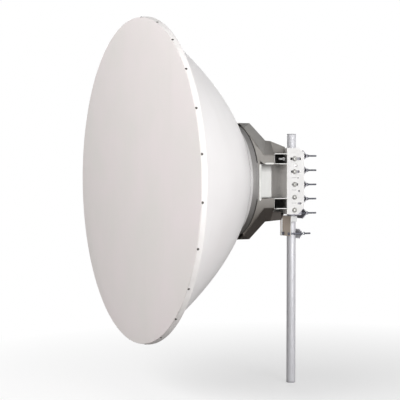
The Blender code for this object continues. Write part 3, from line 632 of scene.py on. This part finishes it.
# The upper cap: dull zinc painted lighter as light on its top, with painted shade towards its rear
zincLooks["capZinc"] = zincLooks["dullZinc"] | dict(
    colour=(152, 150, 147), crystal=(164, 161, 157), patch=(140, 137, 134), rearShadeAmount=0.45,
)
zincLooks["collarBarZinc"] = zincLooks["barZinc"] | dict(
    colour=(238, 238, 240), crystal=(234, 234, 236), patch=(214, 214, 218), under=(204, 204, 212),
    cornerAmount=0.2,
)
materials = {name: enamelMaterial(name, look) for name, look in enamelLooks.items()}
materials.update((name, zincMaterial(name, look)) for name, look in zincLooks.items())
print("materials made")


# Dish

dishCentre = alongZ * dishAxisZ
dish = measures(dict(
    faceY=-996, faceRadius=900, radomeThickness=4, radomeEdge=2.2, rimRearY=-964, rimRearRadius=905,
    rimSheet=3, bowlRadius=864, bowlDepth=615, bowlSheet=3, bowlFlatRadius=300, fanRadius=60, gap=0.3,
), columns=256, flatRings=8, edgeRings=6, bowlRings=48)


def bowlBack(radius):
    # Distance along Y = rim's rear + depth x (1 - (radius / bowl radius)^2)
    return dish.rimRearY + dish.bowlDepth * (1 - (radius / dish.bowlRadius) ** 2)


def dishShell(radius, along, loopRows=False):
    return turnedShell(dishCentre, alongY, along, radius, dish.columns, loopRows)


def makeRadome():
    # A flat plate whose front edge is a quarter of a circle
    face = dish.faceY
    edge = dish.radomeEdge
    outer = dish.faceRadius
    fan = dish.fanRadius
    rear = face + dish.radomeThickness
    turn = np.linspace(0, np.pi / 2, dish.edgeRings)
    flat = np.linspace(fan, outer - edge, dish.flatRings + 1)[:-1]
    radius = np.r_[flat, outer - edge + edge * np.sin(turn), outer, outer - 0.6 * mm, fan]
    curve = face + edge - edge * np.cos(turn)
    along = np.r_[np.full(len(flat), face), curve, rear - 0.5 * mm, rear, rear]
    addPiece("radomeFace", [dishShell(radius, along)], "dish", "radome_skin", "radomeSheet", "radome")


def makeRimBand():
    # The band's section: a short lip behind the radome, the sloping band and a rolled rear edge
    front = dish.faceY + dish.radomeThickness + dish.gap
    rear = dish.rimRearY
    sheet = dish.rimSheet
    outer = dish.faceRadius + dish.gap
    wide = dish.rimRearRadius
    section = [
        (outer, front), (wide - 0.6 * mm, rear - 8 * mm), (wide, rear - 6 * mm), (wide, rear),
        (wide - sheet, rear), (wide - sheet - 0.3 * mm, rear - 8 * mm), (outer - sheet, front),
    ]
    outline = roundedOutline(section, np.array([0.9, 6, 2, 1.4, 1.2, 4, 0.9]) * mm)
    addPiece("rimBand", [dishShell(*outline.T, True)], "dish", "rim_paint", "rimEnamel", "rim_band")


def makeReflector():
    # Rear skin a paraboloid, inner skin one sheet further in, joined by the rim flange
    bowl = dish.bowlRadius
    sheet = dish.bowlSheet
    fan = dish.fanRadius
    flangeRear = dish.rimRearY
    flangeRadius = dish.rimRearRadius - dish.rimSheet - 1.2 * mm
    skin = np.linspace(bowl, dish.bowlFlatRadius, dish.bowlRings)
    slope = 2 * dish.bowlDepth * skin / bowl ** 2
    inward = bowlBack(skin) - sheet * np.sqrt(1 + slope ** 2)
    flatBack = bowlBack(dish.bowlFlatRadius)
    outerRadius = np.r_[flangeRadius, flangeRadius, skin, fan]
    outerAlong = np.r_[flangeRear - sheet, flangeRear, bowlBack(skin), flatBack]
    innerRadius = np.r_[bowl - sheet, skin[1:] - 1 * mm, fan]
    innerAlong = np.r_[flangeRear - sheet, inward[1:], flatBack - sheet]
    radius = np.r_[innerRadius[::-1], outerRadius]
    along = np.r_[innerAlong[::-1], outerAlong]
    shells = [dishShell(radius, along)]
    addPiece("reflectorBowl", shells, "dish", "white_paint", "whiteEnamel", "reflector", degrees=40)


drum = measures(dict(
    radius=323, wall=6, rearY=-380, plate=5, ringStep=3, beadFromRing=8, beadDepth=1.6, gasketWidth=9,
    neckWidth=15, neckSheet=1.2,
), gasketDegrees=18.0)


def makeHubDrum():
    # A cylinder seated on the bowl with a rolled bead, and a back plate set into it
    outer = drum.radius
    inner = outer - drum.wall
    rear = drum.rearY
    plateFront = rear - drum.plate
    ringRear = rear - drum.gasketWidth
    bead = ringRear - drum.beadFromRing
    step = outer - drum.ringStep
    fan = dish.fanRadius
    section = [
        (fan, plateFront), (inner, plateFront), (inner, bowlBack(inner) + dish.gap),
        (outer, bowlBack(outer) + dish.gap), (outer, bead - 2 * mm), (outer - drum.beadDepth, bead),
        (outer, bead + 2 * mm), (outer, ringRear), (step, ringRear), (step, rear), (fan, rear),
    ]
    reach = np.array([0.01, 1.0, 0.6, 0.6, 1.0, 1.0, 1.0, 0.8, 0.3, 0.8, 0.01]) * mm
    outline = roundedOutline(section, reach, 4)
    addPiece("hubDrum", [dishShell(*outline.T)], "dish", "galvanised", "drumZinc", "hub_drum")


def makeDrumTrim():
    outer = drum.radius
    # Two dark strips in the ring's groove, above and below the windows: painted shade for the gap between
    # the drum and the bracket
    middle = dishCentre + alongY * (drum.rearY - drum.gasketWidth / 2)
    strip = drum.gasketWidth / 2 + 0.1 * mm
    low = drum.gasketDegrees
    arcs = [(low, 180 - low), (180 + low, 360 - low)]
    shells = [arcBead(middle, outer + 0.6 * mm - strip, strip, start, end) for start, end in arcs]
    addPiece("drumGrooveShade", shells, "dish", "plug_plastic", "grooveShade")
    # The bowl's painted neck laps onto the drum, its white painted darker as shade
    lapFront = bowlBack(outer) + dish.gap + 0.4 * mm
    lapRear = bowlBack(outer) + drum.neckWidth
    foot = outer - 0.4 * mm
    top = outer + drum.neckSheet
    neck = [(foot, lapFront), (top, lapFront), (top, lapRear), (foot, lapRear)]
    outline = roundedOutline(neck, 0.4 * mm, 3)
    addPiece("drumNeck", [dishShell(*outline.T, True)], "dish", "white_paint", "neckEnamel")


# The head's profile: how far each ring stands out, and its share of the head's radius
rimScrews = measures(dict(
    behindFace=9, seat=0.2, washerRadius=7.4, washerThickness=1.1, headRadius=5.8,
    headRise=np.array([0.9, 1.8, 2.7, 3.3, 3.4, 3.3, 1.9, 1.9]),
), count=24, firstDegrees=9.1, columns=24, headShare=np.array([1.0, 1.0, 0.88, 0.66, 0.5, 0.44, 0.4, 0.1]))


def makeRimScrews():
    screw = rimScrews
    shells = []
    y = dish.faceY + screw.behindFace
    seat = dish.faceRadius + screw.seat
    head = screw.headRadius * screw.headShare
    washer = (0.0, screw.washerThickness, screw.washerRadius, screw.columns)
    for index in range(screw.count):
        angle = math.radians(screw.firstDegrees + index * 360 / screw.count)
        outward = np.array([math.cos(angle), 0.0, math.sin(angle)])
        foot = dishCentre + outward * seat + alongY * y
        shells.append(washerShell(foot, outward, *washer))
        shells.append(turnedShell(foot, outward, screw.headRise, head, screw.columns))
    addPiece("rimScrews", shells, "dish", "bolt_steel", "screwZinc")


makeRadome()
makeRimBand()
makeReflector()
makeHubDrum()
makeDrumTrim()
makeRimScrews()
print("dish made")


# Pole

pole = measures(dict(radius=26.5, wall=3.2, length=1475, plugFlange=4, plugDepth=30, gap=0.3), columns=72)


def makePole():
    low = pole.plugFlange + pole.gap
    high = pole.length - low
    inner = pole.radius - pole.wall
    section = [(inner, low), (pole.radius, low), (pole.radius, high), (inner, high)]
    outline = roundedOutline(section, 0.5 * mm, 3)
    shell = turnedShell(np.zeros(3), alongZ, outline[:, 1], outline[:, 0], pole.columns, True)
    addPiece("poleTube", [shell], "pole", "pole_steel", "poleZinc", "pole")


def makePlug(name, node, baseZ, inward):
    # A flange with a softened edge over the pole's end, and a plug inside it
    outer = pole.radius
    inside = outer - pole.wall - pole.gap
    flange = pole.plugFlange
    along = [0, 0, 0.7 * mm, 1.6 * mm, flange, flange, pole.plugDepth]
    radius = [10 * mm, outer - 1.6 * mm, outer - 0.5 * mm, outer, outer, inside, inside]
    shell = turnedShell(alongZ * baseZ, alongZ * inward, along, radius, pole.columns)
    addPiece(name, [shell], "pole", "plug_plastic", "plugPlastic", node)


makePole()
makePlug("poleCapPlug", "pole_cap", pole.length, -1)
makePlug("poleFootPlug", "pole_foot_plug", 0.0, 1)
print("pole made")


# Bolts and studs

crossBolt = measures(dict(
    y=-35, pivotZ=-169.5, pitch=74.8, radius=6, seatX=101.3, washerRadius=15, washerThickness=2.5,
    headCorner=10.5, headHeight=8, endLength=7, threadPitch=1.75,
), count=5, columns=24)


def makeCrossBolt(node, z):
    bolt = crossBolt
    centre = np.array([0.0, bolt.y, bracketZ + z])
    washer = (bolt.seatX, bolt.washerThickness, bolt.washerRadius)
    head = bolt.seatX + bolt.washerThickness
    top = head + bolt.headHeight
    end = top + bolt.endLength
    shells = [
        washerShell(centre, alongX, *washer),
        washerShell(centre, -alongX, *washer),
        hexShell(centre, alongX, head, bolt.headHeight, bolt.headCorner, False, True),
        hexShell(centre, -alongX, head, bolt.headHeight, bolt.headCorner, True, True),
        turnedShell(centre, alongX, [-bolt.seatX, bolt.seatX], [bolt.radius, bolt.radius], bolt.columns),
        threadShell(centre, -alongX, top - 1 * mm, end, bolt.radius, bolt.threadPitch),
    ]
    addPiece(pieceName(node), shells, "clamp", "bolt_steel", "boltZinc", node)


stud = measures(dict(
    radius=5, headCorner=9.8, headHeight=6.4, washerRadius=10, washerThickness=2, nutHeight=8.4,
    threadPitch=1.5, gap=0.3, barSeatY=26.8, barSheet=5, threadUnderWasher=6,
), columns=16)
clampStuds = measures(dict(x=70, middleZ=-26, pitch=84, barLeg=45, seatY=14, endY=128), count=5)
collarStuds = measures(dict(x=34, z=-317, barLeg=40, seatY=-31.8, endY=110))


def makeStud(node, body, x, z, layout):
    # Head at the front, then the shank, and a washer and nut behind the angle bar
    centre = np.array([x, 0.0, dishAxisZ + z])
    gap = stud.gap
    radius = stud.radius
    corner = stud.headCorner
    seatY = layout.seatY
    washer = stud.barSeatY + (layout.barLeg + stud.barSheet) * math.sqrt(0.5) + gap
    nut = washer + stud.washerThickness
    threadStart = washer - stud.threadUnderWasher
    head = seatY - stud.headHeight - gap
    shells = [
        hexShell(centre, alongY, head, stud.headHeight, corner, True, False),
        turnedShell(centre, alongY, [seatY - gap, threadStart], [radius, radius], stud.columns),
        washerShell(centre, alongY, washer, stud.washerThickness, stud.washerRadius),
        hexShell(centre, alongY, nut, stud.nutHeight, corner, True, True),
        threadShell(centre, alongY, threadStart, layout.endY, radius, stud.threadPitch),
    ]
    addPiece(pieceName(node), shells, body, "bolt_steel", "studZinc", node)


elevationScrew = measures(dict(
    x=68, z=129.5, radius=6, frontY=-122, rearY=-70.2, nutCorner=10.5, nutHeight=8, frontNutY=-85.3,
    rearNutY=-78.7, threadPitch=1.75,
))


def makeElevationScrew():
    screw = elevationScrew
    centre = np.array([screw.x, 0.0, bracketZ + screw.z])
    middle = (screw.frontNutY + screw.rearNutY) / 2
    shells = [
        hexShell(centre, alongY, start, screw.nutHeight, screw.nutCorner, True, True)
        for start in (screw.frontNutY - screw.nutHeight, screw.rearNutY)
    ]
    shells += [
        threadShell(centre, alongY, middle, end, screw.radius, screw.threadPitch)
        for end in (screw.frontY, screw.rearY)
    ]
    addPiece("elevationScrew", shells, "dish", "bolt_steel", "paleZinc", "elevation_screw")


makeCrossBolt("pivot_bolt", crossBolt.pivotZ)
for index in range(1, crossBolt.count):
    makeCrossBolt(f"slot_bolt_{index}", crossBolt.pivotZ + crossBolt.pitch * index)
for index in range(clampStuds.count):
    barZ = clampStuds.middleZ + clampStuds.pitch * (2 - index)
    for sideName, side in bothSides:
        node = f"clamp_stud_{index + 1}_{sideName.lower()}"
        makeStud(node, "clamp", side * clampStuds.x, barZ, clampStuds)
for sideName, side in bothSides:
    node = f"collar_stud_{sideName.lower()}"
    makeStud(node, "pole", side * collarStuds.x, collarStuds.z, collarStuds)
makeElevationScrew()
print("bolts and studs made")


# Folded sheet: merged copies of the CAD nodes, with rounded folds and softened cut edges

sheetForm = measures(
    dict(mergeReach=0.01, broad=14), flatDegrees=1.0, foldDegrees=12, cutDegrees=35, segments=3,
)


def broadness(face, edge):
    # A face's area over the length of one of its edges, so a cut edge's face comes out thin
    return face.calc_area() / max(edge.calc_length(), 1e-6)


def mergedMesh(node):
    bm = bmesh.new()
    bm.from_mesh(cadNodes[node].data)
    bmesh.ops.remove_doubles(bm, verts=bm.verts, dist=sheetForm.mergeReach)
    mesh = bpy.data.meshes.new(node)
    bm.to_mesh(mesh)
    bm.free()
    return mesh


def cutMesh(mesh, shells):
    # Takes closed shells out of a mesh and gives back the new mesh
    body = addObject("cutBody", mesh)
    tool = meshPiece("cutTool", shells)
    cut = body.modifiers.new("cut", "BOOLEAN")
    cut.operation = "DIFFERENCE"
    cut.solver = "EXACT"
    cut.object = tool
    evaluated = body.evaluated_get(bpy.context.evaluated_depsgraph_get())
    result = bpy.data.meshes.new_from_object(evaluated)
    bpy.data.objects.remove(body)
    bpy.data.objects.remove(tool)
    return result


def sheetCopy(node, foldRadius, edgeRadius):
    # An edge between two broad faces is a fold and gets foldRadius; any other sharp edge is a cut one
    source = mergedMesh(node)
    if node in cutters:
        source = cutMesh(source, cutters[node])
    bm = bmesh.new()
    bm.from_mesh(source)
    bmesh.ops.remove_doubles(bm, verts=bm.verts, dist=sheetForm.mergeReach)
    flat = math.radians(sheetForm.flatDegrees)
    bmesh.ops.dissolve_limit(bm, angle_limit=flat, verts=bm.verts, edges=bm.edges)
    weights = bm.edges.layers.float.new("bevel_weight_edge")
    for edge in bm.edges:
        if len(edge.link_faces) != 2:
            continue
        turn = math.degrees(edge.calc_face_angle(0.0))
        broad = min(broadness(face, edge) for face in edge.link_faces)
        if turn > sheetForm.foldDegrees and broad > sheetForm.broad:
            edge[weights] = 1.0
        elif turn > sheetForm.cutDegrees:
            edge[weights] = edgeRadius / foldRadius
    mesh = bpy.data.meshes.new(pieceName(node))
    bm.to_mesh(mesh)
    bm.free()
    smoothMesh(mesh, smoothDegrees)
    piece = addObject(pieceName(node), mesh)
    bevel = piece.modifiers.new("foldsAndEdges", "BEVEL")
    bevel.limit_method = "WEIGHT"
    bevel.width = foldRadius
    bevel.segments = sheetForm.segments
    bevel.use_clamp_overlap = True
    return piece


# In both cheeks: round holes (y, z, radius) and slots (y, z, half length, half height), in mm
cheek = measures(
    dict(insideX=93, outsideX=103), columns=24, firstAngle=0.01, holes=[(-12, 13, 3.2), (-5.5, -63, 6.2)],
    slots=[(-1, -136, 13, 6.2), (-38, 15, 14, 0.8), (-38, -57, 14, 0.8), (-38, -133, 14, 0.8)],
)
# Relief notch at the upper front corner of each window: (y, z) in mm
notch = measures(
    dict(insideX=111, outsideX=120), corners=[(-269, 96), (-242, 96), (-265, 115), (-269, 115)],
)


def throughSheet(section, side, size):
    # A straight prism through the sheet that stands between insideX and outsideX
    return prismShell(section, [side * size.insideX, side * size.outsideX], [1, 1], [2, 0, 1])


def cheekCutters():
    # Outline = two half circles of radius halfZ, moved apart to reach halfY
    shells = []
    angle = roundAngles(cheek.columns) + cheek.firstAngle
    for side in (-1, 1):
        for y, z, halfY, halfZ in [(y, z, r, r) for y, z, r in cheek.holes] + cheek.slots:
            sectionY = y + halfZ * np.cos(angle) + (halfY - halfZ) * np.sign(np.cos(angle))
            sectionZ = z + halfZ * np.sin(angle)
            section = np.stack([sectionY * mm, dishAxisZ + sectionZ * mm], -1)
            shells.append(throughSheet(section, side, cheek))
    return shells


def notchCutters(side):
    return [throughSheet([(y * mm, bracketZ + z * mm) for y, z in notch.corners], side, notch)]


cutters = {
    "mount_bracket": cheekCutters(),
    "side_plate_left": notchCutters(-1),
    "side_plate_right": notchCutters(1),
}
# Body, finish, slot, fold radius and edge radius in mm, and the nodes
sheetPieces = [
    ("dish", "cheekZinc", "bright_zinc", 7, 0.6, ["mount_bracket"]),
    ("dish", "brightZinc", "bright_zinc", 3, 0.5, ["upper_channel", "lower_channel"]),
    ("dish", "dullZinc", "galvanised", 2, 0.5, ["side_plate_left", "side_plate_right"]),
    ("dish", "capZinc", "galvanised", 6, 0.5, ["upper_cap"]),
    ("dish", "shadedZinc", "galvanised", 6, 0.5, ["lower_cap"]),
    ("dish", "housingPaint", "housing_metal", 3, 0.5, ["feed_housing"]),
    ("clamp", "barZinc", "galvanised", 6, 0.6, ["carriage_side_left", "carriage_side_right"]),
    ("clamp", "dullZinc", "galvanised", 2, 0.6, [f"pole_saddle_{index}" for index in (1, 2, 3)]),
    ("pole", "collarZinc", "galvanised", 4, 0.6, ["collar_plate"]),
    ("pole", "collarBarZinc", "galvanised", 5, 0.6, ["collar_bar"]),
    ("clamp", "barZinc", "galvanised", 5, 0.6, [f"clamp_bar_{index}" for index in range(1, 6)]),
]
for body, finish, slotName, foldRadius, edgeRadius, nodes in sheetPieces:
    for node in nodes:
        settle(sheetCopy(node, foldRadius * mm, edgeRadius * mm), body, slotName, finish, node)
print("folded sheet made")


# Trim on the sheet: weld beads, the windows' edge strips and lips in bright zinc as a painted highlight,
# plugs and washers in the cheeks

# A weld bead's path is (y, z) in mm
weld = measures(
    dict(x=115.6, radius=3.4, pitch=6), ripple=0.07, degrees=60,
    path=[(-378.5, 305.3), (-373.6, 305.3), (-244.3, 152.3), (-178.5, 152.3)],
)
windowEdgeHighlight = measures(dict(
    innerX=112.5, outerX=119.6, rounding=3, taper=14, frontY=-276, rearY=-261, lowZ=-116, highZ=97,
    lipFrontY=-242, lipRearY=-180, lipLowZ=96, lipHighZ=107,
), shrink=[0.3, 1, 1, 0.8])
cheekPlug = measures(dict(
    y=-25, z=87, seatX=101, radius=6.6, height=2.0, washerRadius=10, washerHeight=0.8,
), columns=32, rise=np.array([0, 0.3, 0.7, 0.9, 1.0]), share=np.array([1.0, 1.0, 0.85, 0.6, 0.25]))


def makeWelds():
    for sideName, side in bothSides:
        shells = []
        for level in (-1, 1):
            path = [(side * weld.x, y * mm, bracketZ + level * z * mm) for y, z in weld.path]
            shells.append(beadShell(path, weld.radius, weld.ripple, weld.pitch))
        addPiece(f"seamWeld{sideName}", shells, "dish", "galvanised", "dullZinc", degrees=weld.degrees)


def edgeStrip(side, first, last, low, high, order):
    # A rounded strip on the side plate, from low to high along the axis that order puts last
    inner = side * windowEdgeHighlight.innerX
    outer = side * windowEdgeHighlight.outerX
    corners = [(inner, first), (outer, first), (outer, last), (inner, last)]
    section = roundedOutline(corners, windowEdgeHighlight.rounding)
    along = [low, low + windowEdgeHighlight.taper, high - 1 * mm, high]
    return prismShell(section, along, windowEdgeHighlight.shrink, order)


def makeWindowEdges():
    size = windowEdgeHighlight
    heights = (size.lowZ, size.highZ, size.lipLowZ, size.lipHighZ)
    low, high, lipLow, lipHigh = (bracketZ + z for z in heights)
    for sideName, side in bothSides:
        # Each strip stands for a lip on the window's edge, in bright zinc that paints the highlight along
        # it
        shells = [
            edgeStrip(side, size.frontY, size.rearY, low, high, [0, 1, 2]),
            edgeStrip(side, lipLow, lipHigh, size.lipFrontY, size.lipRearY, [0, 2, 1]),
        ]
        addPiece(f"windowEdgeHighlight{sideName}", shells, "dish", "bright_zinc", "brightZinc")


def makeCheekDome(name, side, height, radius, slotName, finish):
    # A low dome on the cheek: distance = seat + rise x height, radius = share x its own radius
    centre = np.array([0.0, cheekPlug.y, dishAxisZ + cheekPlug.z])
    along = cheekPlug.seatX + cheekPlug.rise * height
    shell = turnedShell(centre, alongX * side, along, cheekPlug.share * radius, cheekPlug.columns)
    addPiece(name, [shell], "dish", slotName, finish)


makeWelds()
makeWindowEdges()
for sideName, side in bothSides:
    height, radius = cheekPlug.height, cheekPlug.radius
    makeCheekDome(f"cheekPlug{sideName}", side, height, radius, "plug_plastic", "whiteEnamel")
    height, radius = cheekPlug.washerHeight, cheekPlug.washerRadius
    makeCheekDome(f"cheekPlugWasher{sideName}", side, height, radius, "bolt_steel", "boltZinc")
print("trim made")


# Floor, light and camera

paper = measures(
    reach=40.0, z=-1 * mm, shade=0.86, roughness=0.9, bounce=(0.30, 0.29, 0.285, 1.0), glowNear=0.45,
    glowFar=1.0, nearRadius=0.3, farRadius=2.6,
)
studio = measures(
    top=0.26, level=0.98, bottom=0.16, topHeight=0.8, bottomHeight=-0.6, aim=(0, -0.4, 1.2),
)
# Name, power, width and place of each round light
studioPanels = [
    ("keyPanel", 4.0, 4.0, (4.6, 1.6, 5.2)),
    ("sidePanel", 335.0, 3.6, (6.8, 0.2, 1.2)),
    ("frontPanel", 138.0, 2.8, (1.6, -4.5, 3.2)),
    ("backPanel", 90.0, 3.4, (-6.4, 1.8, 1.6)),
]
view = measures(
    yaw=65.54, pitch=1.85, distance=6.239, right=0.3656, up=-0.1055, lens=101.06, sensor=36.0,
)
white = (1.0, 1.0, 1.0, 1.0)


def makeFloor():
    colour = (paper.shade, paper.shade, paper.shade, 1.0)
    material, tree, shader, place = startMaterial("paperFloor", colour, paper.roughness, 0.0)
    reach = paper.reach
    corners = [(x * reach, y * reach, paper.z) for x, y in ((-1, -1), (1, -1), (1, 1), (-1, 1))]
    mesh = bpy.data.meshes.new("floor")
    mesh.from_pydata(corners, [], [(0, 1, 2, 3)])
    mesh.materials.append(material)
    floor = addObject("floor", mesh)
    # The floor turns to white paper light further out, and throws less light back than it shows
    spread = newNode(tree, "VectorMath", {0: place}, operation="LENGTH").outputs["Value"]
    glow = newNode(tree, "Emission", {"Color": white})
    radii = (paper.nearRadius, paper.farRadius)
    far = rangeOf(tree, spread, paper.glowNear, paper.glowFar, *radii)
    shown = newNode(tree, "MixShader", {0: far, 1: shader.outputs[0], 2: glow.outputs[0]})
    bounce = newNode(tree, "BsdfDiffuse", {"Color": paper.bounce})
    seen = newNode(tree, "LightPath").outputs["Is Camera Ray"]
    both = {0: seen, 1: bounce.outputs[0], 2: shown.outputs[0]}
    mix = newNode(tree, "MixShader", both)
    tree.links.new(mix.outputs[0], tree.nodes["Material Output"].inputs["Surface"])


def makeLight():
    # World light falls from level at the horizon to top and bottom, but the camera sees plain white
    world = bpy.data.worlds.new("studio")
    bpy.context.scene.world = world
    world.use_nodes = True
    tree = world.node_tree
    background = tree.nodes["Background"]
    place = newNode(tree, "TexCoord").outputs["Generated"]
    height = axisOf(tree, place, "Z")
    upper = rangeOf(tree, height, studio.level, studio.top, 0.0, studio.topHeight)
    lower = rangeOf(tree, height, studio.bottom, studio.level, studio.bottomHeight, 0.0)
    isUp = mathOf(tree, "GREATER_THAN", height, 0.0)
    level = newNode(tree, "Mix", {0: isUp, 2: lower, 3: upper}, data_type="FLOAT").outputs[0]
    seen = newNode(tree, "LightPath").outputs["Is Camera Ray"]
    strength = newNode(tree, "Mix", {0: seen, 2: level, 3: 1.0}, data_type="FLOAT").outputs[0]
    tree.links.new(strength, background.inputs["Strength"])
    background.inputs["Color"].default_value = white
    for name, power, width, spot in studioPanels:
        lamp = bpy.data.lights.new(name, "AREA")
        lamp.shape = "DISK"
        lamp.size = width
        lamp.energy = power
        light = addObject(name, lamp)
        light.location = spot
        aim = Vector(studio.aim) - light.location
        light.rotation_euler = aim.to_track_quat("-Z", "Y").to_euler()
    bpy.context.scene.view_settings.view_transform = "Standard"


def makeCamera():
    # The camera looks at a point in the plane of the dish's face, moved right and up in the picture
    yaw = math.radians(view.yaw)
    pitch = math.radians(view.pitch)
    right = Vector((math.cos(yaw), math.sin(yaw), 0))
    back = Vector((math.sin(yaw) * math.cos(pitch), -math.cos(yaw) * math.cos(pitch), math.sin(pitch)))
    up = back.cross(right)
    target = Vector((0, dish.faceY, dishAxisZ)) + view.right * right + view.up * up
    data = bpy.data.cameras.new("camera")
    data.lens = view.lens
    data.sensor_width = view.sensor
    camera = addObject("camera", data)
    camera.location = target + view.distance * back
    camera.rotation_euler = (-back).to_track_quat("-Z", "Y").to_euler()
    bpy.context.scene.camera = camera


makeFloor()
makeLight()
makeCamera()
print("floor, light and camera made")
